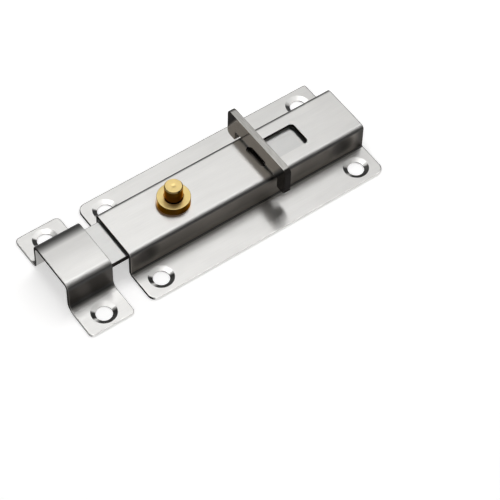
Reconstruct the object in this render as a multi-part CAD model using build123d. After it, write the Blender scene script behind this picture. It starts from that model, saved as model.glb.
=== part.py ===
from build123d import *
import os
from math import cos, dist, hypot, pi, sin, sqrt, tau

# Surface-mounted door bolt with a push-button lock and a separate keeper, in millimetres.
# X runs along the bolt, from its nose (-X) to the tail (+X). Z is up off the door, whose face is z = 0.
# The origin is the middle of the housing's four screw holes, on the door's face. The bolt is out (locked).

# Housing: one hat-shaped pressing
housing_length = 100.0
housing_width = 48.4
sheet = 1.2
channel_width = 21.6
channel_height = 12.1
channel_bend = 1.7
foot_bend = 0.5
plate_corner = 3.2
plate_far_tail_corner = 0.8
edge_roll = 0.35
edge_break = 0.15

# Screw holes of the housing and the keeper
screw_end_margin = 8.0
screw_hole = 6.0
screw_sink = 9.4
screw_sink_depth = 0.8

# Bolt and its travel
bolt_thickness = 2.0
bolt_roof_clearance = 0.9
bolt_side_clearance = 0.7
bolt_guide_clearance = 0.2
bolt_travel = 16.5
bolt_nose_inset = 0.1
bolt_tail_clearance = 1.5
bolt_corner = 1.0
bolt_edge = 0.3

# Handle plate, its tongue through the slot, and the two tenons that are peened in the bolt
handle_setback = 39.9
handle_thickness = 2.6
handle_width = 34.8
handle_rise = 8.8
handle_drop = 3.9
handle_corner = 2.0
handle_edge = 0.3
leg_clearance = 1.8
leg_corner = 0.8
bridge_clearance = 1.1
slot_width = 10.2
slot_corner = 1.6
slot_side_clearance = 0.55
slot_front_clearance = 1.3
slot_back_clearance = 0.5
tenon_width = 3.0
tenon_spacing = 5.6

# Brass collar and push button
button_setback = 25.2
button_diameter = 6.6
button_proud = 5.8
button_chamfer = 0.4
button_dimple = 2.0
button_dimple_depth = 0.06
button_clearance = 0.05
collar_diameter = 12.0
collar_height = 3.1
collar_edge = 0.2
collar_mouth = 0.3
collar_mouth_depth = 1.2
collar_spigot = 9.6

# Lock ring, spring and spring cup under the button
lock_diameter = 9.0
lock_clearance = 0.4
lock_roof_clearance = 0.1
lock_below_bolt = 0.3
lock_core = 5.2
release_clearance = 0.7
spigot_diameter = 4.4
spigot_length = 1.8
spring_wire = 0.7
spring_diameter = 7.3
spring_turns = 3.5
cup_wall = 0.6
cup_flange = 14.0
cup_door_clearance = 0.4

# Guide channel under the bolt
guide_sheet = 1.0
guide_bend = 1.5
guide_inset = 5.5
guide_door_clearance = 0.3

# Keeper: a short hat-shaped pressing, ahead of the housing
keeper_length = 18.0
keeper_gap = 7.2
keeper_width = 49.2
keeper_channel_width = 22.0
keeper_height = 13.8
keeper_bend = 2.6
keeper_foot_bend = 2.6
keeper_corner = 1.8
keeper_screw_margin = 6.0

# Places that follow from the sizes above. The handle is set back from the tail, the button from the other end
screw_x = housing_length / 2 - screw_end_margin
screw_y = (housing_width + channel_width) / 4
keeper_screw_y = keeper_width / 2 - keeper_screw_margin
handle_front = housing_length / 2 - handle_setback
button_x = button_setback - housing_length / 2
roof = channel_height - sheet
channel_inside = channel_width - 2 * sheet
bolt_top = roof - bolt_roof_clearance
bolt_bottom = bolt_top - bolt_thickness
bolt_width = channel_inside - 2 * bolt_side_clearance
bolt_nose = -housing_length / 2 - bolt_travel + bolt_nose_inset
bolt_tail = housing_length / 2 - bolt_travel - bolt_tail_clearance
handle_back = handle_front + handle_thickness
handle_top = channel_height + handle_rise
slot_front = handle_front - slot_front_clearance
slot_back = handle_back + bolt_travel + slot_back_clearance
collar_top = channel_height + collar_height
button_top = collar_top + button_proud
collar_bore = button_diameter + 2 * button_clearance
lock_top = roof - lock_roof_clearance
lock_bottom = bolt_bottom - lock_below_bolt
lock_hole = lock_diameter + 2 * lock_clearance
button_travel = lock_top - bolt_bottom + release_clearance
guide_top = bolt_bottom - bolt_guide_clearance
guide_under = guide_top - guide_sheet
cup_floor = cup_door_clearance + cup_wall
cup_diameter = lock_hole + 2 * cup_wall
keeper_back = -housing_length / 2 - keeper_gap
keeper_front = keeper_back - keeper_length


def rod(diameter, bottom, top, x=0.0, y=0.0):
    """Upright round bar between two heights."""
    standing = (Align.CENTER, Align.CENTER, Align.MIN)
    return Pos(x, y, bottom) * Cylinder(diameter / 2, top - bottom, align=standing)


def block(x_from, x_to, width, bottom, top, y=0.0):
    """Upright box centred on y, between two places along X and two heights."""
    lowest = (Align.MIN, Align.CENTER, Align.MIN)
    return Pos(x_from, y, bottom) * Box(x_to - x_from, width, top - bottom, align=lowest)


def turned(points, x):
    """Body of revolution about the upright axis at x, from its (radius, height) outline."""
    return Pos(x, 0, 0) * revolve(Plane.XZ * make_face(Polyline(*points, close=True)), Axis.Z)


def mirrored(half):
    """Whole outline of (y, z, radius) corners from its half on the +Y side."""
    return half + [(-y, z, r) for y, z, r in reversed(half)]


def bent_line(corners, close=False):
    """Line in a plane through (across, up, radius) corners, each rounded by its radius."""
    points = [(across, up) for across, up, r in corners]
    radii = [r for across, up, r in corners]
    if not close:
        radii = radii[1:-1]
    return FilletPolyline(*points, radius=radii, close=close)


def hat(x_from, x_to, width, hat_width, height, bend, foot, corner, far_tail_corner):
    """Hat-shaped pressing along X: two flanges on the door and a channel, bent from one sheet."""
    inner_bend = max(bend - sheet, edge_break)
    top = [
        (width / 2, sheet, 0),
        (hat_width / 2, sheet, foot),
        (hat_width / 2, height, bend),
    ]
    under = [
        (width / 2, 0, 0),
        (hat_width / 2 - sheet, 0, foot + sheet),
        (hat_width / 2 - sheet, height - sheet, inner_bend),
    ]
    outline = mirrored(top) + list(reversed(mirrored(under)))
    section = make_face(bent_line(outline, close=True))
    pressing = extrude(Plane.YZ.offset(x_from) * section, x_to - x_from)
    plan = [
        (x_from, -width / 2, corner),
        (x_to, -width / 2, corner),
        (x_to, width / 2, far_tail_corner),
        (x_from, width / 2, corner),
    ]
    for x, y, radius in plan:
        upright = pressing.edges().filter_by(Axis.Z).sort_by_distance((x, y, sheet / 2))
        pressing = fillet(upright[0], radius)
    return roll_edges(pressing, bent_line(plan, close=True), bent_line(mirrored(top)))


def roll_edges(pressing, plan_line, top_line):
    """Rounds the edges of a pressing's upper side, all the way round its plan."""
    section_line = Plane.YZ * top_line

    def on_rim(edge):
        middle = edge.center()
        off_plan = Vertex(middle.X, middle.Y, 0).distance_to(plan_line)
        off_top = Vertex(0, middle.Y, middle.Z).distance_to(section_line)
        return off_plan < edge_break and off_top < edge_break

    return fillet(pressing.edges().filter_by(on_rim), edge_roll)


def screw_cutter(x, y):
    """Countersunk screw hole through a flange."""
    sink_foot = sheet - screw_sink_depth
    standing = (Align.CENTER, Align.CENTER, Align.MIN)
    cone = Cone(screw_hole / 2, screw_sink / 2, screw_sink_depth, align=standing)
    return rod(screw_hole, 0, sheet, x, y) + Pos(x, y, sink_foot) * cone


def make_housing():
    """Housing with its screw holes, the handle's slot and the collar's hole."""
    end = housing_length / 2
    pressing = hat(
        -end,
        end,
        housing_width,
        channel_width,
        channel_height,
        channel_bend,
        foot_bend,
        plate_corner,
        plate_far_tail_corner,
    )
    for x in (-screw_x, screw_x):
        for y in (-screw_y, screw_y):
            pressing -= screw_cutter(x, y)
    slot = Pos((slot_front + slot_back) / 2, 0, roof) * extrude(
        RectangleRounded(slot_back - slot_front, slot_width, slot_corner), sheet
    )
    return pressing - slot - rod(collar_spigot, roof, channel_height, button_x)


def make_bolt():
    """Flat bar with the button's slot and the mortises for the handle's tenons."""
    bar = block(bolt_nose, bolt_tail, bolt_width, bolt_bottom, bolt_top)
    bar = fillet(bar.edges().filter_by(Axis.Z), bolt_corner)
    bar = fillet(bar.edges().group_by(Axis.Z)[-1], bolt_edge)
    slot_end = button_x - bolt_travel
    bar -= rod(lock_hole, bolt_bottom, bolt_top, button_x)
    bar -= rod(lock_hole, bolt_bottom, bolt_top, slot_end)
    bar -= block(slot_end, button_x, lock_hole, bolt_bottom, bolt_top)
    for y in (-tenon_spacing / 2, tenon_spacing / 2):
        bar -= block(handle_front, handle_back, tenon_width, bolt_bottom, bolt_top, y)
    return bar


def make_handle():
    """Cross plate with a leg down each side of the channel and a tongue through its slot to the bolt."""
    leg_foot = channel_height - handle_drop
    leg_inside = channel_width / 2 + leg_clearance
    bridge = channel_height + bridge_clearance
    tongue = slot_width / 2 - slot_side_clearance
    half = [
        (handle_width / 2, handle_top, handle_corner),
        (handle_width / 2, leg_foot, handle_corner),
        (leg_inside, leg_foot, leg_corner),
        (leg_inside, bridge, leg_corner),
        (tongue, bridge, 0),
        (tongue, bolt_top, 0),
    ]
    face = make_face(bent_line(mirrored(half), close=True))
    plate = extrude(Plane.YZ.offset(handle_front) * face, handle_thickness)
    rims = plate.faces().sort_by(Axis.X)
    rim_edges = rims[0].edges() + rims[-1].edges()
    plate = fillet(rim_edges.filter_by(lambda edge: edge.center().Z > bridge + edge_break), handle_edge)
    for y in (-tenon_spacing / 2, tenon_spacing / 2):
        plate += block(handle_front, handle_back, tenon_width, bolt_bottom, bolt_top, y)
    return plate


def make_collar():
    """Turned brass collar: a ring on the roof and a spigot staked in the roof's hole."""
    ring = rod(collar_diameter, channel_height, collar_top, button_x)
    ring = fillet(ring.edges().group_by(Axis.Z)[-1], collar_edge)
    ring += rod(collar_spigot, roof, channel_height, button_x)
    mouth = rod(collar_bore + 2 * collar_mouth, collar_top - collar_mouth_depth, collar_top, button_x)
    return ring - rod(collar_bore, roof, collar_top, button_x) - mouth


def make_button_pin():
    """Turned brass push button: stem, core for the lock ring and spigot for the spring."""
    outline = [
        (0, lock_bottom - spigot_length),
        (spigot_diameter / 2, lock_bottom - spigot_length),
        (spigot_diameter / 2, lock_bottom),
        (lock_core / 2, lock_bottom),
        (lock_core / 2, lock_top),
        (button_diameter / 2, lock_top),
        (button_diameter / 2, button_top - button_chamfer),
        (button_diameter / 2 - button_chamfer, button_top),
        (button_dimple / 2, button_top),
        (0, button_top - button_dimple_depth),
    ]
    return turned(outline, button_x)


def make_lock_ring():
    """Steel ring pressed on the pin's core. It fills the bolt's slot while the button is up."""
    ring = rod(lock_diameter, lock_bottom, lock_top, button_x)
    return ring - rod(lock_core, lock_bottom, lock_top, button_x)


def make_guide():
    """Inverted channel between the housing's walls: its web carries the bolt."""
    top = [
        (channel_inside / 2, guide_door_clearance, 0),
        (channel_inside / 2, guide_top, guide_bend),
    ]
    under = [
        (channel_inside / 2 - guide_sheet, guide_door_clearance, 0),
        (channel_inside / 2 - guide_sheet, guide_under, max(guide_bend - guide_sheet, edge_break)),
    ]
    outline = mirrored(top) + list(reversed(mirrored(under)))
    section = make_face(bent_line(outline, close=True))
    length = housing_length - 2 * guide_inset
    channel = extrude(Plane.YZ.offset(-length / 2) * section, length)
    return channel - rod(lock_hole, guide_under, guide_top, button_x)


def make_spring_cup():
    """Pressed cup under the guide's web. The spring stands on its floor."""
    bore = lock_hole / 2
    rim_foot = guide_under - cup_wall
    outline = [
        (0, cup_door_clearance),
        (cup_diameter / 2, cup_door_clearance),
        (cup_diameter / 2, rim_foot),
        (cup_flange / 2, rim_foot),
        (cup_flange / 2, guide_under),
        (bore, guide_under),
        (bore, cup_floor),
        (0, cup_floor),
    ]
    return turned(outline, button_x)


def biarc(start, start_way, end, end_way):
    """Two tangent arcs from one point and direction to another."""
    chord = end - start
    both = start_way + end_way
    spread = 2 * (1 - start_way.dot(end_way))
    reach = (-chord.dot(both) + sqrt(chord.dot(both) ** 2 + spread * chord.dot(chord))) / spread
    first_corner = start + start_way * reach
    second_corner = end - end_way * reach
    middle = (first_corner + second_corner) * 0.5
    middle_way = (second_corner - first_corner).normalized()
    return [TangentArc(start, middle, tangent=start_way), TangentArc(middle, end, tangent=middle_way)]


def make_spring():
    """Coil spring as one unbroken tube, from the cup's floor to the lock ring."""
    radius = (spring_diameter - spring_wire) / 2
    lowest = cup_floor + spring_wire / 2
    climb = lock_bottom - spring_wire / 2 - lowest
    quarters = round(4 * spring_turns)
    turn = tau * spring_turns
    rate = climb / turn
    arc_length = hypot(radius, rate)

    def place(angle):
        return Vector(button_x + radius * cos(angle), radius * sin(angle), lowest + rate * angle)

    def way(angle):
        return Vector(-radius * sin(angle), radius * cos(angle), rate) / arc_length

    angles = [turn * step / quarters for step in range(quarters + 1)]
    level_start = Vector(way(0).X, way(0).Y, 0).normalized()
    level_end = Vector(way(turn).X, way(turn).Y, 0).normalized()
    tail = place(0) - level_start * spring_wire
    tip = place(turn) + level_end * spring_wire
    ways = [level_start] + [way(angle) for angle in angles[1:-1]] + [level_end]
    path = [Line(tail, place(0))]
    for step in range(quarters):
        path += biarc(place(angles[step]), ways[step], place(angles[step + 1]), ways[step + 1])
    path.append(Line(place(turn), tip))
    sample_step = pi / 16
    samples = [sample_step * step for step in range(round(turn / sample_step) + 1)]
    far_apart = pi
    gap = min(
        dist(tuple(place(a)), tuple(place(b))) for a in samples for b in samples if b - a > far_apart
    )
    print(f"spring: least gap between turns {gap - spring_wire:.2f} mm")
    section = Plane(origin=tail, z_dir=level_start) * Circle(spring_wire / 2)
    return sweep(section, path=Wire([edge.edge() for edge in path]))


def make_keeper():
    """Keeper with its two screw holes. The bolt's nose goes in under its roof."""
    pressing = hat(
        keeper_front,
        keeper_back,
        keeper_width,
        keeper_channel_width,
        keeper_height,
        keeper_bend,
        keeper_foot_bend,
        keeper_corner,
        keeper_corner,
    )
    for y in (-keeper_screw_y, keeper_screw_y):
        pressing -= screw_cutter((keeper_front + keeper_back) / 2, y)
    return pressing


nodes = {
    "housing": make_housing(),
    "guide": make_guide(),
    "bolt": make_bolt(),
    "handle": make_handle(),
    "collar": make_collar(),
    "button_pin": make_button_pin(),
    "lock_ring": make_lock_ring(),
    "spring": make_spring(),
    "spring_cup": make_spring_cup(),
    "keeper": make_keeper(),
}
os.makedirs("parts", exist_ok=True)
for name, solid in nodes.items():
    export_step(solid, f"parts/{name}.step")
print(f"travel: bolt {bolt_travel:.2f} mm, button {button_travel:.2f} mm; cup floor z {cup_floor:.2f} mm")
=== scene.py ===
from math import cos, pi, radians, sin, tau
from types import SimpleNamespace

import bmesh
import bpy
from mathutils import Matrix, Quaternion, Vector


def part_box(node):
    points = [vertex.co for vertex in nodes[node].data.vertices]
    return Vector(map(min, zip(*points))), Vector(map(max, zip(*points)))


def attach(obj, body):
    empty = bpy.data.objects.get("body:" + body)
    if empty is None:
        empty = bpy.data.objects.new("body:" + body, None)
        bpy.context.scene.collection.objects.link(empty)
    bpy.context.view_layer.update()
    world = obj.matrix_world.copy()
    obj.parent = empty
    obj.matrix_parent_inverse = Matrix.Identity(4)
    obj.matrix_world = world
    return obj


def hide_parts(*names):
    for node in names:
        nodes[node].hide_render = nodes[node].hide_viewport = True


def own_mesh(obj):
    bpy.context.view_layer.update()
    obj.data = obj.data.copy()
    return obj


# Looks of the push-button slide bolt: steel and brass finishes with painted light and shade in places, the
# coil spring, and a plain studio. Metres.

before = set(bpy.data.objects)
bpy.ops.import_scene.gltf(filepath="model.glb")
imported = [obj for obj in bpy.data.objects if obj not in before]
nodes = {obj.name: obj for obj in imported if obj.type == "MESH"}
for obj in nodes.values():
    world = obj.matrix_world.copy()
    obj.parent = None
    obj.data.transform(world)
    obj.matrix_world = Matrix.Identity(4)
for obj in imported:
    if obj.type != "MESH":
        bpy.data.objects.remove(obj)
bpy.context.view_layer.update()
MM = 0.001

# Camera, fitted to the photograph's straight edges
VIEW_AZIMUTH = radians(-37.09)
VIEW_ELEVATION = radians(54.03)
VIEW_ROLL = radians(1.93)
VIEW_DISTANCE = 0.7235
VIEW_AIM = Vector((-0.00987, -0.02494, 0))
SENSOR = 36.0
LENS = 149.76

# Floor, and a pale room with a dim band across X, over the tail, which keeps the level steel grey
FLOOR_REACH = 6.0
FLOOR_DROP = 0.05 * MM
FLOOR_COLOUR = (0.85, 0.85, 0.85, 1)
FLOOR_GLOW = 0.36
ROOM_COLOUR = (0.62, 0.615, 0.61, 1)
DIM_BAND_COLOUR = (0.050, 0.046, 0.042, 1)
DIM_BAND_BEGINS = (0.12, 0.22)
DIM_BAND_ENDS = (0.61, 0.51)

# Lights: a softbox that is brighter over the nose, and two dim panels, all level
LIGHT_HEIGHT = 0.6
SOFTBOX_FROM = Vector((-0.12, 0.05))
SOFTBOX_TO = Vector((0.50, 0.30))
SOFTBOX_RADIANCE = 5.0
SOFTBOX_DIMMEST = 0.46
FAR_PANEL_FROM = Vector((0.14, 0.30))
FAR_PANEL_TO = Vector((0.38, 0.45))
FAR_PANEL_RADIANCE = 0.5
NEAR_PANEL_FROM = Vector((0.10, -0.45))
NEAR_PANEL_TO = Vector((0.42, -0.10))
NEAR_PANEL_RADIANCE = 0.45

# Finishes: colours are linear, near is -Y, and a pair of limits is where a mask is 0 and where it is 1
BLACK = (0, 0, 0, 1)
NARROW_NOISE = (0.35, 0.65)
WIDE_NOISE = (0.3, 0.7)
BUMP_DEPTH = 0.1 * MM

# Brushed sheet
STAINLESS = (0.72, 0.715, 0.70)
BOLT_STEEL = (0.63, 0.63, 0.62)
FINE_GRAIN = (90, 5200, 5200)
BROAD_GRAIN = (60, 300, 300)
GRAIN_SHADES = (0.96, 1.04)
GRAIN_BUMP = 0.03
BRUSHED_ROUGHNESS = (0.29, 0.35)
BRUSHED_STRETCH = 1.0
FLANGE_TOP = 1.4 * MM
FLANGE_INSIDE = 12.4 * MM
LEVEL_FACING = (0.5, 0.8)

# Walls and bends of the sheet, darker and warmer than its roof by painted shade, which starts higher in the
# far bend
WALL_PAINTED_SHADE = 0.28
KEEPER_WALL_PAINTED_SHADE = 0.10
WALL_TINT = (1.05, 0.97, 0.90)
WALL_FACING = (0.45, 0.85)
BLOTCHES = (90, 140, 140)
BLOTCH_SHADES = (0.88, 1.12)
BEND_FACING = (0.0, 0.25)
BEND_PAINTED_SHADE = 0.12
FAR_SIDE_FACING = 0.05
FAR_BEND_LEAD = 0.4

# Housing's walls: painted light at the foot, painted dark reflections at the tail end and beside the screw
# holes, and painted shade in the crease
FOOT_BAND = (5.0 * MM, 2.0 * MM)
FOOT_PAINTED_LIGHT = 1.8
WALL_END_BAND = (45.0 * MM, 48.5 * MM)
PATCH_PLACES = (-43.5 * MM, 40.0 * MM)
PATCH_HEIGHT = 7.5 * MM
PATCH_LENGTH = 6.5 * MM
PATCH_RISE = 6.0 * MM
PATCH_PAINTED_SHADE = 0.07
CREASE_FROM = 10.6 * MM
CREASE_BOTTOM = 1.1 * MM
CREASE_REACH = (11.45 * MM, 11.15 * MM)
CREASE_HEIGHT = (1.9 * MM, 1.6 * MM)
CREASE_PAINTED_SHADE = 0.2

# Keeper: painted shade darkens the roof towards +Y, and the near flange shines as if it curved up to the
# wall
KEEPER_GREY_BAND = (-7.0 * MM, 3.8 * MM)
KEEPER_PAINTED_GREY = 0.20
KEEPER_DARK_BAND = (3.8 * MM, 8.6 * MM)
KEEPER_PAINTED_DARK = 0.88
KEEPER_CURVE_BAND = (-18.3 * MM, -11.0 * MM)
KEEPER_CURVE = -0.26
KEEPER_FOOT_CUT = 0.5

# Countersinks: dark arcs of painted shade; each arc has the way that its cone faces, in X and Y, and the
# limits of its shade
SINK_FACING = (0.99, 0.94)
SINK_SHADE = 0.98
SINK_PAINTED_SHADE = 0.10
PAINTED_SHADE_ARCS = (((-0.14, 0.99), (0.05, 0.2)), ((0.956, -0.294), (0.375, 0.41)))

# Sheared faces: dark, partly as sheared steel is and partly painted shade, but bright along the near edges
# of the flanges by a painted highlight
CUT_STEEL_AND_PAINTED_SHADE = (0.020, 0.018, 0.017)
CUT_ROUGHNESS = 0.6
CUT_GLOSS = 0.03
CUT_FACING = (0.5, 0.8)
# The slot's punched walls and the roll of the far and tail edges are dark by painted shade
PUNCHED_FACING = -0.5
SLOT_REACH = 8.0 * MM
EDGE_FROM = 23.5 * MM
TAIL_FROM = 49.3 * MM
ROLL_FACING = (0.04, 0.16)
NEAR_EDGE_PAINTED_HIGHLIGHT = (0.98, 0.975, 0.96)
NEAR_EDGE_FACING = (0.1, 0.4)

# Handle: polished faces with painted shade past a slanted line near each end, a duller rim, and dark ends,
# partly as sheared steel and partly painted shade
HANDLE_STEEL = (0.25, 0.218, 0.18)
HANDLE_CLOUD = (350, 350, 350)
HANDLE_SHADES = (0.93, 1.06)
HANDLE_ROUGHNESS = (0.10, 0.16)
HANDLE_SLANT = 0.58
HANDLE_NEAR_BAND = (-1.4 * MM, -3.4 * MM)
HANDLE_FAR_BAND = (22.6 * MM, 24.6 * MM)
HANDLE_PAINTED_SHADE = 0.10
HANDLE_END_FACING = (0.12, 0.4)
RIM_STEEL = (0.33, 0.325, 0.31)
RIM_FACING = (0.8, 0.5)
RIM_LINES = (5200, 260, 5200)
RIM_SHADES = (0.85, 1.2)
RIM_ROUGHNESS = 0.25

# Satin steel of the pieces inside
PLAIN_STEEL = (0.58, 0.58, 0.57)
PLAIN_ROUGHNESS = (0.30, 0.40)
SPRING_STEEL = (0.50, 0.50, 0.50)
SPRING_ROUGHNESS = (0.20, 0.30)
SATIN_CLOUD = (350, 350, 350)
SATIN_SHADES = (0.9, 1.07)
SATIN_SPECKS = (4000, 4000, 4000)
SATIN_BUMP = 0.05

# Brass, turned about Z
BRASS = (0.62, 0.48, 0.207)
BRASS_CLOUD = (500, 500, 500)
BRASS_SHADES = (0.95, 1.05)
# The sides' dark colour is painted shade
BRASS_SIDE_PAINTED_SHADE = (0.085, 0.038, 0.009)
BRASS_SIDE_FACING = (0.9, 0.6)
BRASS_EDGE_TINT = (1.0, 0.62, 0.28, 1)
BRASS_END_FACING = (0.7, 0.98)
BRASS_ROUGHNESS = (0.12, 0.36)
BRASS_ROUGHNESS_SPREAD = (-0.03, 0.03)

# Spring, in the form of its solid
SPRING_WIRE = 0.7 * MM
SPRING_TURNS = 3.5
SPRING_STEPS = 48
WIRE_SIDES = 14


def new_material(name):
    """New node material, its tree and its shader."""
    material = bpy.data.materials.new(name)
    material.use_nodes = True
    tree = material.node_tree
    return material, tree, tree.nodes["Principled BSDF"]


def fill(tree, socket, value):
    """Links a socket to a value that is a socket too, and otherwise sets it."""
    if isinstance(value, bpy.types.NodeSocket):
        tree.links.new(value, socket)
    else:
        socket.default_value = value


def add(tree, kind, inputs=None, **settings):
    """Adds a node with these settings and inputs."""
    node = tree.nodes.new(kind)
    for name, value in settings.items():
        setattr(node, name, value)
    for key, value in (inputs or {}).items():
        fill(tree, node.inputs[key], value)
    return node


def math(tree, operation, first, *others):
    """Result of an operation on one socket or number, or on several, from the first to the last."""
    if not others:
        return add(tree, "ShaderNodeMath", {0: first}, operation=operation).outputs[0]
    result = first
    for other in others:
        result = add(tree, "ShaderNodeMath", {0: result, 1: other}, operation=operation).outputs[0]
    return result


def opposite(tree, mask):
    """Mask that is 1 where the other is 0."""
    return math(tree, "SUBTRACT", 1.0, mask)


def shade(colour, factor=1.0):
    """The same colour, lighter or darker, as a socket takes it."""
    return tuple(min(1.0, part * factor) for part in colour) + (1,)


def grain(tree, place, stretch, detail=3.0):
    """Noise stretched along the axes: a bigger number is finer that way."""
    spread = add(tree, "ShaderNodeMapping", {"Vector": place, "Scale": stretch})
    noise = add(tree, "ShaderNodeTexNoise", {"Vector": spread.outputs[0], "Scale": 1.0, "Detail": detail})
    return noise.outputs["Fac"]


def clouded(tree, noise, limits, colour, shades):
    """Colour that goes from one shade to the other as the noise goes from limit to limit."""
    ramp = add(tree, "ShaderNodeValToRGB", {"Fac": noise})
    for element, position, factor in zip(ramp.color_ramp.elements, limits, shades):
        element.position = position
        element.color = shade(colour, factor)
    return ramp.outputs[0]


def span(tree, factor, limits, results=(0.0, 1.0)):
    """Number that goes from one result to the other as the factor goes from limit to limit."""
    inputs = {"Value": factor, "From Min": limits[0], "From Max": limits[1]}
    inputs.update({"To Min": results[0], "To Max": results[1]})
    return add(tree, "ShaderNodeMapRange", inputs).outputs[0]


def ease(tree, factor, limits):
    """Number that rises smoothly from 0 to 1 as the factor goes from limit to limit."""
    inputs = {"Value": factor, "From Min": limits[0], "From Max": limits[1]}
    return add(tree, "ShaderNodeMapRange", inputs, interpolation_type="SMOOTHSTEP").outputs[0]


def mix_colour(tree, factor, first, second):
    """First colour where the factor is 0, second where it is 1."""
    node = add(tree, "ShaderNodeMix", data_type="RGBA")
    fill(tree, node.inputs[0], factor)
    fill(tree, node.inputs[6], first)
    fill(tree, node.inputs[7], second)
    return node.outputs[2]


def surface(tree):
    """Place on the part, the normal there, and its facing: how much it lies along each axis."""
    coordinates = add(tree, "ShaderNodeTexCoord")
    place = coordinates.outputs["Object"]
    at = add(tree, "ShaderNodeSeparateXYZ", {0: place}).outputs
    normal = add(tree, "ShaderNodeSeparateXYZ", {0: coordinates.outputs["Normal"]}).outputs
    facing = {axis: math(tree, "ABSOLUTE", normal[axis]) for axis in "XYZ"}
    return SimpleNamespace(place=place, at=at, normal=normal, facing=facing)


def outward_facing(tree, spot):
    """How much the surface faces away from the middle plane, along Y."""
    return math(tree, "MULTIPLY", spot.normal["Y"], math(tree, "SIGN", spot.at["Y"]))


def sheet_surface(tree):
    """Surface with what pressed sheet goes by: its side of the middle plane, and the flange's height."""
    spot = surface(tree)
    spot.outward = outward_facing(tree, spot)
    spot.off_middle = math(tree, "ABSOLUTE", spot.at["Y"])
    spot.above_flange = math(tree, "GREATER_THAN", spot.at["Z"], FLANGE_TOP)
    spot.on_flange = opposite(tree, spot.above_flange)
    return spot


def darken_cuts_and_shade(tree, shader, cut_and_shade, base, dullness):
    """Finishes a steel shader: where the mask is 1, on sheared faces and on places of painted shade, it is
    dark and hardly shines.
    """
    tree.links.new(mix_colour(tree, cut_and_shade, base, shade(CUT_STEEL_AND_PAINTED_SHADE)), shader.inputs["Base Color"])
    rest = opposite(tree, cut_and_shade)
    dullness = math(tree, "MULTIPLY", dullness, rest)
    rough_cut = math(tree, "MULTIPLY", cut_and_shade, CUT_ROUGHNESS)
    tree.links.new(math(tree, "ADD", dullness, rough_cut), shader.inputs["Roughness"])
    tree.links.new(rest, shader.inputs["Metallic"])
    shader.inputs["Specular IOR Level"].default_value = CUT_GLOSS


def add_bump(tree, shader, height, strength, **more):
    """Gives a shader fine relief by a height."""
    inputs = {"Height": height, "Strength": strength, "Distance": BUMP_DEPTH, **more}
    tree.links.new(add(tree, "ShaderNodeBump", inputs).outputs[0], shader.inputs["Normal"])


def paint_keeper_roof_shade(tree, spot, base):
    """Roof with painted shade that goes to grey and then nearly to black towards +Y."""
    grey = span(tree, spot.at["Y"], KEEPER_GREY_BAND, (0.0, KEEPER_PAINTED_GREY))
    dark = math(tree, "MULTIPLY", ease(tree, spot.at["Y"], KEEPER_DARK_BAND), KEEPER_PAINTED_DARK)
    roof = math(tree, "MULTIPLY", span(tree, spot.facing["Z"], LEVEL_FACING), spot.above_flange)
    return mix_colour(tree, math(tree, "MULTIPLY", math(tree, "MAXIMUM", grey, dark), roof), base, BLACK)


def paint_housing_wall_light_and_shade(tree, spot, painted_wall_base, warm, wall_painted_shade):
    """Wall with painted light at the foot, and painted dark reflections at the tail end and in a soft patch
    beside each hole.
    """
    foot = span(tree, spot.at["Z"], FOOT_BAND)
    painted_wall_base = mix_colour(tree, foot, painted_wall_base, shade(warm, wall_painted_shade * FOOT_PAINTED_LIGHT))
    dark = ease(tree, spot.at["X"], WALL_END_BAND)
    rise = math(tree, "DIVIDE", math(tree, "SUBTRACT", spot.at["Z"], PATCH_HEIGHT), PATCH_RISE)
    for patch in PATCH_PLACES:
        along = math(tree, "DIVIDE", math(tree, "SUBTRACT", spot.at["X"], patch), PATCH_LENGTH)
        reach = math(tree, "ADD", math(tree, "MULTIPLY", along, along), math(tree, "MULTIPLY", rise, rise))
        dark = math(tree, "MAXIMUM", dark, ease(tree, reach, (1.0, 0.0)))
    # The tail end and the patches get a painted dark reflection.
    return mix_colour(tree, dark, painted_wall_base, shade(warm, PATCH_PAINTED_SHADE))


def paint_wall_light_and_shade(tree, spot, base, colour, wall_painted_shade, keeper):
    """Paints shade on the walls and the bends above them. On the far side the painted shade starts higher in
    the bend.
    """
    to_far_side = math(tree, "GREATER_THAN", spot.normal["Y"], FAR_SIDE_FACING)
    turned = math(tree, "ADD", spot.outward, math(tree, "MULTIPLY", to_far_side, FAR_BEND_LEAD))
    wall = math(tree, "MULTIPLY", span(tree, turned, WALL_FACING), spot.above_flange)
    warm = tuple(part * share for part, share in zip(colour, WALL_TINT))
    blotch = grain(tree, spot.place, BLOTCHES, detail=1.0)
    painted_wall_base = clouded(tree, blotch, NARROW_NOISE, warm, [wall_painted_shade * share for share in BLOTCH_SHADES])
    if not keeper:
        painted_wall_base = paint_housing_wall_light_and_shade(tree, spot, painted_wall_base, warm, wall_painted_shade)
    bend = span(tree, spot.facing["Z"], BEND_FACING)
    # Bends carry a darker painted shade than the walls.
    painted_wall_base = mix_colour(tree, bend, painted_wall_base, shade(colour, BEND_PAINTED_SHADE))
    return mix_colour(tree, wall, base, painted_wall_base)


def paint_crease_shade(tree, spot, base, colour):
    """Painted shade: a dark line where the housing's wall meets the flange."""
    beside_wall = math(tree, "GREATER_THAN", spot.off_middle, CREASE_FROM)
    over_flange = math(tree, "GREATER_THAN", spot.at["Z"], CREASE_BOTTOM)
    reach = span(tree, spot.off_middle, CREASE_REACH)
    height = span(tree, spot.at["Z"], CREASE_HEIGHT)
    crease = math(tree, "MULTIPLY", beside_wall, over_flange, reach, height)
    return mix_colour(tree, crease, base, shade(colour, CREASE_PAINTED_SHADE))


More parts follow.
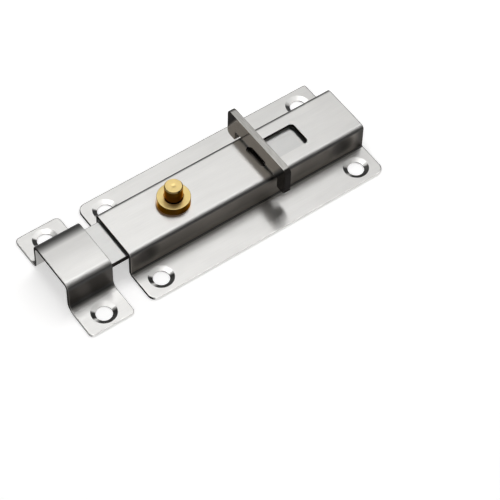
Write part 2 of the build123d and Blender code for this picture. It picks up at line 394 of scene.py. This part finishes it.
def countersinks(tree, spot):
    """Where the countersinks' cones are, and which part of a cone is dark with painted shade."""
    outside = math(tree, "GREATER_THAN", spot.off_middle, FLANGE_INSIDE)
    tilted = span(tree, spot.facing["Z"], SINK_FACING)
    not_upright = span(tree, spot.facing["Z"], LEVEL_FACING)
    sink = math(tree, "MULTIPLY", tilted, not_upright, outside, spot.on_flange)
    arcs = []
    for (way_x, way_y), limits in PAINTED_SHADE_ARCS:
        turned_x = math(tree, "MULTIPLY", spot.normal["X"], way_x)
        turned_y = math(tree, "MULTIPLY", spot.normal["Y"], way_y)
        arcs.append(span(tree, math(tree, "ADD", turned_x, turned_y), limits))
    return sink, math(tree, "MAXIMUM", *arcs)


def paint_near_edge_highlight(tree, spot, base):
    """Painted highlight: a bright face along the near edge of a flange."""
    near_edge = math(tree, "LESS_THAN", spot.at["Y"], -EDGE_FROM)
    near_edge = math(tree, "MULTIPLY", span(tree, spot.outward, NEAR_EDGE_FACING), near_edge)
    return mix_colour(tree, near_edge, base, shade(NEAR_EDGE_PAINTED_HIGHLIGHT))


def sheared_and_shaded_faces(tree, spot, keeper, cut_sides):
    """Where the sheet is dark: at its sheared ends, partly as sheared steel and partly painted shade, and by
    painted shade in the slot and along its far and tail edges.
    """
    near_middle = math(tree, "LESS_THAN", spot.off_middle, SLOT_REACH)
    punched = math(tree, "MULTIPLY", math(tree, "LESS_THAN", spot.outward, PUNCHED_FACING), near_middle)
    facing = spot.facing["X"]
    if cut_sides:
        facing = math(tree, "MAXIMUM", facing, spot.facing["Y"])
    cut_and_shade = math(tree, "MAXIMUM", span(tree, facing, CUT_FACING), punched)
    if keeper:
        foot_share = span(tree, spot.above_flange, (0.0, 1.0), (KEEPER_FOOT_CUT, 1.0))
        cut_and_shade = math(tree, "MULTIPLY", cut_and_shade, foot_share)
    for axis, start in (("Y", EDGE_FROM), ("X", TAIL_FROM)):
        at_edge = math(tree, "GREATER_THAN", spot.at[axis], start)
        roll = math(tree, "MULTIPLY", span(tree, spot.normal[axis], ROLL_FACING), at_edge)
        cut_and_shade = math(tree, "MAXIMUM", cut_and_shade, roll)
    return cut_and_shade


def shining_normal(tree, spot, bright_sink, keeper):
    """Normal that lets countersinks shine as if flatter, and the keeper's near flange as if it curved."""
    lift_parts = {"Z": bright_sink}
    if keeper:
        curve = span(tree, spot.at["Y"], KEEPER_CURVE_BAND, (0.0, KEEPER_CURVE))
        near_side = math(tree, "LESS_THAN", spot.at["Y"], 0.0)
        lift_parts["Y"] = math(tree, "MULTIPLY", curve, near_side, spot.on_flange)
    lift = add(tree, "ShaderNodeCombineXYZ", lift_parts).outputs[0]
    normal = add(tree, "ShaderNodeNewGeometry").outputs["Normal"]
    lifted = add(tree, "ShaderNodeVectorMath", {0: normal, 1: lift}, operation="ADD").outputs[0]
    return add(tree, "ShaderNodeVectorMath", {0: lifted}, operation="NORMALIZE").outputs[0]


def brushed_steel(name, colour, wall_painted_shade, keeper=False, cut_sides=False):
    """Steel brushed along X, with walls and bends dark by painted shade, dark sheared faces that are partly
    painted shade, and painted light and shade in other places.
    """
    material, tree, shader = new_material(name)
    spot = sheet_surface(tree)
    fine = grain(tree, spot.place, FINE_GRAIN)
    broad = grain(tree, spot.place, BROAD_GRAIN, detail=2.0)
    average = math(tree, "MULTIPLY", math(tree, "ADD", fine, broad), 0.5)
    base = clouded(tree, average, NARROW_NOISE, colour, GRAIN_SHADES)
    if keeper:
        base = paint_keeper_roof_shade(tree, spot, base)
    base = paint_wall_light_and_shade(tree, spot, base, colour, wall_painted_shade, keeper)
    if not keeper:
        base = paint_crease_shade(tree, spot, base, colour)
    sink, painted_shade_arcs = countersinks(tree, spot)
    # The countersinks' dark arcs are painted shade.
    sink_base = mix_colour(tree, painted_shade_arcs, shade(colour, SINK_SHADE), shade(colour, SINK_PAINTED_SHADE))
    base = mix_colour(tree, sink, base, sink_base)
    base = paint_near_edge_highlight(tree, spot, base)
    dullness = span(tree, fine, WIDE_NOISE, BRUSHED_ROUGHNESS)
    darken_cuts_and_shade(tree, shader, sheared_and_shaded_faces(tree, spot, keeper, cut_sides), base, dullness)
    shader.inputs["Anisotropic"].default_value = BRUSHED_STRETCH
    across = add(tree, "ShaderNodeTangent", direction_type="RADIAL", axis="X")
    tree.links.new(across.outputs[0], shader.inputs["Tangent"])
    bright_sink = math(tree, "MULTIPLY", sink, opposite(tree, painted_shade_arcs))
    add_bump(tree, shader, fine, GRAIN_BUMP, Normal=shining_normal(tree, spot, bright_sink, keeper))
    return material


def polished_plate(name):
    """Plate across X: polished faces with painted shade past a line near each end, a duller rim, and dark
    ends, partly as sheared steel and partly painted shade.
    """
    material, tree, shader = new_material(name)
    spot = surface(tree)
    cloud = grain(tree, spot.place, HANDLE_CLOUD)
    lines = grain(tree, spot.place, RIM_LINES, detail=2.0)
    base = clouded(tree, cloud, WIDE_NOISE, HANDLE_STEEL, HANDLE_SHADES)
    rim_base = clouded(tree, lines, WIDE_NOISE, RIM_STEEL, RIM_SHADES)
    rim = span(tree, spot.facing["X"], RIM_FACING)
    slant = math(tree, "ADD", spot.at["Y"], math(tree, "MULTIPLY", spot.at["Z"], HANDLE_SLANT))
    near_end = ease(tree, slant, HANDLE_NEAR_BAND)
    base = mix_colour(tree, near_end, base, shade(HANDLE_STEEL, HANDLE_PAINTED_SHADE))
    base = mix_colour(tree, rim, base, rim_base)
    dullness = span(tree, cloud, WIDE_NOISE, HANDLE_ROUGHNESS)
    dullness = math(tree, "ADD", dullness, math(tree, "MULTIPLY", rim, RIM_ROUGHNESS))
    # Painted shade at the far end, as dark as a sheared face.
    far_end = math(tree, "MULTIPLY", ease(tree, slant, HANDLE_FAR_BAND), opposite(tree, rim))
    sheared = span(tree, outward_facing(tree, spot), HANDLE_END_FACING)
    darken_cuts_and_shade(tree, shader, math(tree, "MAXIMUM", sheared, far_end), base, dullness)
    return material


def satin_steel(name, colour, roughness):
    """Steel with an even satin finish and a faint cloudiness."""
    material, tree, shader = new_material(name)
    place = add(tree, "ShaderNodeTexCoord").outputs["Object"]
    cloud = grain(tree, place, SATIN_CLOUD)
    speck = grain(tree, place, SATIN_SPECKS, detail=2.0)
    base = clouded(tree, cloud, WIDE_NOISE, colour, SATIN_SHADES)
    tree.links.new(base, shader.inputs["Base Color"])
    tree.links.new(span(tree, cloud, WIDE_NOISE, roughness), shader.inputs["Roughness"])
    shader.inputs["Metallic"].default_value = 1.0
    add_bump(tree, shader, speck, SATIN_BUMP)
    return material


def turned_brass(name):
    """Brass turned on a lathe about Z: the faced ends are pale and matt, and the sides glossy and dark by
    painted shade.
    """
    material, tree, shader = new_material(name)
    spot = surface(tree)
    cloud = grain(tree, spot.place, BRASS_CLOUD)
    base = clouded(tree, cloud, WIDE_NOISE, BRASS, BRASS_SHADES)
    base = mix_colour(tree, span(tree, spot.facing["Z"], BRASS_SIDE_FACING), base, shade(BRASS_SIDE_PAINTED_SHADE))
    tree.links.new(base, shader.inputs["Base Color"])
    dullness = span(tree, spot.facing["Z"], BRASS_END_FACING, BRASS_ROUGHNESS)
    dullness = math(tree, "ADD", dullness, span(tree, cloud, WIDE_NOISE, BRASS_ROUGHNESS_SPREAD))
    tree.links.new(dullness, shader.inputs["Roughness"])
    shader.inputs["Metallic"].default_value = 1.0
    shader.inputs["Specular Tint"].default_value = BRASS_EDGE_TINT
    return material


def make_spring():
    """Coil from the cup's floor to the lock ring: one tube along a helix."""
    low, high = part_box("spring")
    pin_low, pin_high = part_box("button_pin")
    axis_x = (pin_low.x + pin_high.x) / 2
    radius = (high.y - low.y - SPRING_WIRE) / 2
    lowest = low.z + SPRING_WIRE / 2
    climb = high.z - low.z - SPRING_WIRE
    steps = round(SPRING_TURNS * SPRING_STEPS)
    shape = bmesh.new()
    rings = []
    for step in range(steps + 1):
        angle = tau * SPRING_TURNS * step / steps
        outward = Vector((cos(angle), sin(angle), 0))
        middle = Vector((axis_x, 0, lowest + climb * step / steps)) + outward * radius
        along = Vector((-sin(angle) * radius, cos(angle) * radius, climb / (tau * SPRING_TURNS)))
        upward = outward.cross(along.normalized())
        ring = []
        for side in range(WIRE_SIDES):
            turn = tau * side / WIRE_SIDES
            rim = (outward * cos(turn) + upward * sin(turn)) * SPRING_WIRE / 2
            ring.append(shape.verts.new(middle + rim))
        rings.append(ring)
    for first, second in zip(rings, rings[1:]):
        for side in range(WIRE_SIDES):
            after = (side + 1) % WIRE_SIDES
            shape.faces.new((first[side], first[after], second[after], second[side]))
    shape.faces.new(reversed(rings[0]))
    shape.faces.new(rings[-1])
    bmesh.ops.recalc_face_normals(shape, faces=shape.faces)
    for face in shape.faces:
        face.smooth = len(face.verts) == 4
    mesh = bpy.data.meshes.new("coil_spring")
    shape.to_mesh(mesh)
    shape.free()
    spring = bpy.data.objects.new("coil_spring", mesh)
    bpy.context.scene.collection.objects.link(spring)
    return spring


def paint(node, material):
    """Gives a CAD node its finish."""
    mesh = nodes[node].data
    mesh.materials.clear()
    mesh.materials.append(material)


def make_floor():
    """Pale floor under the part, white to the eye and in the metal, which keeps the shadow."""
    mesh = bpy.data.meshes.new("floor")
    sides = [(-1, -1), (1, -1), (1, 1), (-1, 1)]
    corners = [(x * FLOOR_REACH, y * FLOOR_REACH, -FLOOR_DROP) for x, y in sides]
    mesh.from_pydata(corners, [], [(0, 1, 2, 3)])
    floor = bpy.data.objects.new("floor", mesh)
    bpy.context.scene.collection.objects.link(floor)
    material, tree, shader = new_material("floor")
    shader.inputs["Base Color"].default_value = FLOOR_COLOUR
    shader.inputs["Roughness"].default_value = 1.0
    shader.inputs["Specular IOR Level"].default_value = 0.0
    rays = add(tree, "ShaderNodeLightPath")
    kinds = ("Is Camera Ray", "Is Glossy Ray", "Is Transmission Ray")
    seen = math(tree, "ADD", *[rays.outputs[kind] for kind in kinds])
    seen = math(tree, "MINIMUM", seen, 1.0)
    shader.inputs["Emission Color"].default_value = (1, 1, 1, 1)
    tree.links.new(math(tree, "MULTIPLY", seen, FLOOR_GLOW), shader.inputs["Emission Strength"])
    mesh.materials.append(material)


def make_panel(name, corner_from, corner_to, radiance, dimmest=1.0):
    """Level light between two corners, which dims along X to a share of its radiance."""
    size = corner_to - corner_from
    middle = (corner_to + corner_from) / 2
    light = bpy.data.lights.new(name, "AREA")
    light.shape = "RECTANGLE"
    light.size = size.x
    light.size_y = size.y
    light.energy = radiance * pi * size.x * size.y
    light.use_nodes = True
    tree = light.node_tree
    place = add(tree, "ShaderNodeNewGeometry").outputs["Position"]
    along = add(tree, "ShaderNodeSeparateXYZ", {0: place}).outputs["X"]
    dimming = span(tree, along, (corner_from.x, corner_to.x), (1.0, dimmest))
    tree.links.new(dimming, tree.nodes["Emission"].inputs["Strength"])
    panel = bpy.data.objects.new(name, light)
    panel.location = (middle.x, middle.y, LIGHT_HEIGHT)
    panel.visible_camera = False
    bpy.context.scene.collection.objects.link(panel)


def make_lights():
    """Room, the softbox over the part and the dim panels beside it."""
    world = bpy.data.worlds.new("room")
    bpy.context.scene.world = world
    world.use_nodes = True
    tree = world.node_tree
    way = add(tree, "ShaderNodeTexCoord").outputs["Generated"]
    along = add(tree, "ShaderNodeSeparateXYZ", {0: way}).outputs["X"]
    begun = span(tree, along, DIM_BAND_BEGINS)
    going = span(tree, along, DIM_BAND_ENDS)
    room = mix_colour(tree, math(tree, "MULTIPLY", begun, going), ROOM_COLOUR, DIM_BAND_COLOUR)
    tree.links.new(room, tree.nodes["Background"].inputs["Color"])
    make_panel("softbox", SOFTBOX_FROM, SOFTBOX_TO, SOFTBOX_RADIANCE, SOFTBOX_DIMMEST)
    make_panel("far_panel", FAR_PANEL_FROM, FAR_PANEL_TO, FAR_PANEL_RADIANCE)
    make_panel("near_panel", NEAR_PANEL_FROM, NEAR_PANEL_TO, NEAR_PANEL_RADIANCE)


def make_camera():
    """Camera at the photograph's place."""
    back = Vector((
        sin(VIEW_AZIMUTH) * cos(VIEW_ELEVATION),
        -cos(VIEW_AZIMUTH) * cos(VIEW_ELEVATION),
        sin(VIEW_ELEVATION),
    ))
    data = bpy.data.cameras.new("camera")
    data.sensor_width = SENSOR
    data.lens = LENS
    camera = bpy.data.objects.new("camera", data)
    camera.location = VIEW_AIM + back * VIEW_DISTANCE
    camera.rotation_mode = "QUATERNION"
    camera.rotation_quaternion = (-back).to_track_quat("-Z", "Y") @ Quaternion((0, 0, 1), VIEW_ROLL)
    bpy.context.scene.collection.objects.link(camera)
    bpy.context.scene.camera = camera


# The third argument of brushed_steel is the share of painted shade on the walls.
paint("housing", brushed_steel("pressed_sheet", STAINLESS, WALL_PAINTED_SHADE))
paint("keeper", brushed_steel("keeper_sheet", STAINLESS, KEEPER_WALL_PAINTED_SHADE, keeper=True))
paint("bolt", brushed_steel("bolt_steel", BOLT_STEEL, WALL_PAINTED_SHADE, cut_sides=True))
paint("handle", polished_plate("handle_steel"))
plain = satin_steel("plain_steel", PLAIN_STEEL, PLAIN_ROUGHNESS)
for node in ("guide", "lock_ring", "spring_cup"):
    paint(node, plain)
brass = turned_brass("brass")
for node in ("collar", "button_pin"):
    paint(node, brass)

spring = make_spring()
spring.data.materials.append(satin_steel("spring_steel", SPRING_STEEL, SPRING_ROUGHNESS))
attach(spring, "body")
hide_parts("spring")
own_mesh(spring)

make_floor()
make_lights()
make_camera()
bpy.context.scene.view_settings.view_transform = "Standard"
